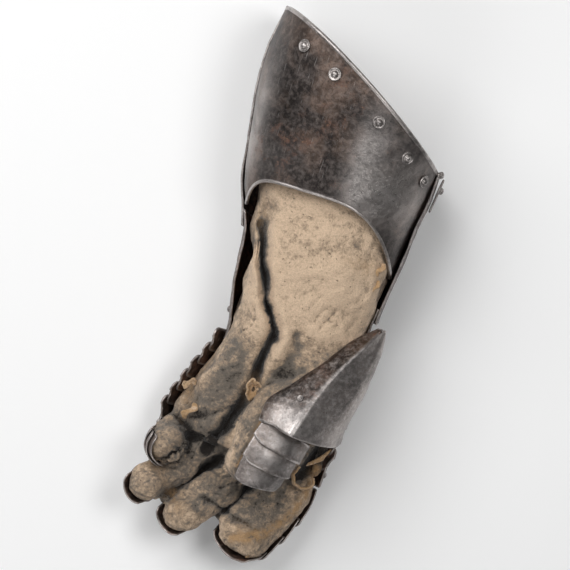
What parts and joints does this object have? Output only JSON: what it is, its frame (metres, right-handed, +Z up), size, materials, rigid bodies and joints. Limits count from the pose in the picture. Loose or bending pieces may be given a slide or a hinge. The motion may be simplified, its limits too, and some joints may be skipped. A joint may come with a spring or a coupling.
{
  "type": "armour gauntlet",
  "caption": "Long-cuffed iron gauntlet for the left hand with a worn leather glove, lying on its back with the palm up.",
  "frame": {"origin": "on the surface that it lies on, under the middle of its box", "axes": "+Z up on the palm side, +Y along the forearm from the fingers to the mouth of the cuff, +X to the thumb side"},
  "size_m": [0.1194, 0.305, 0.1014],
  "materials": {
    "cuff iron": "darkened iron plate with russet rust and worn bright spots",
    "hand iron": "brown rusted iron lames",
    "scale iron": "brown rusted iron scales",
    "thumb iron": "worn grey iron, scratched, darker at the edges",
    "rivets": "rubbed iron rivet heads",
    "glove leather": "worn tan suede, stained dark grey-brown below",
    "strap leather": "tan leather with frayed edges"
  },
  "bodies": {
    "root": {"cuff_inner_plate": "cuff iron", "cuff_outer_plate": "cuff iron", "cuff_rivet_1": "rivets", "cuff_rivet_2": "rivets", "cuff_rivet_3": "rivets", "cuff_rivet_4": "rivets", "cuff_rivet_5": "rivets", "cuff_back_rivet_1": "rivets", "cuff_back_rivet_2": "rivets", "cuff_back_rivet_3": "rivets", "cuff_back_rivet_4": "rivets", "cuff_catch": "cuff iron", "cuff_catch_rivet": "rivets", "wrist_plate": "hand iron", "hand_lame_1": "hand iron", "hand_lame_2": "hand iron", "hand_lame_3": "hand iron", "hand_lame_4": "hand iron", "hand_lame_5": "hand iron", "hand_lame_6": "hand iron", "knuckle_plate": "hand iron", "wrist_rivet_little": "rivets", "wrist_rivet_thumb": "rivets", "knuckle_rivet_little": "rivets", "knuckle_rivet_thumb": "rivets", "index_scale_1": "scale iron", "index_scale_2": "scale iron", "index_scale_3": "scale iron", "index_scale_4": "scale iron", "middle_scale_1": "scale iron", "middle_scale_2": "scale iron", "middle_scale_3": "scale iron", "middle_scale_4": "scale iron", "ring_scale_1": "scale iron", "ring_scale_2": "scale iron", "ring_scale_3": "scale iron", "ring_scale_4": "scale iron", "little_scale_1": "scale iron", "little_scale_2": "scale iron", "little_scale_3": "scale iron", "little_scale_4": "scale iron", "thumb_plate": "thumb iron", "thumb_rivet": "rivets", "thumb_lame_1": "thumb iron", "thumb_lame_2": "thumb iron", "thumb_lame_3": "thumb iron", "glove": "glove leather", "palm_tab": "strap leather", "side_thong_1": "strap leather", "side_thong_2": "strap leather", "edge_loop_1": "strap leather", "edge_loop_2": "strap leather", "curled_strap": "strap leather", "knuckle_strap": "strap leather", "index_seam_strip": "strap leather"}
  },
  "joints": []
}
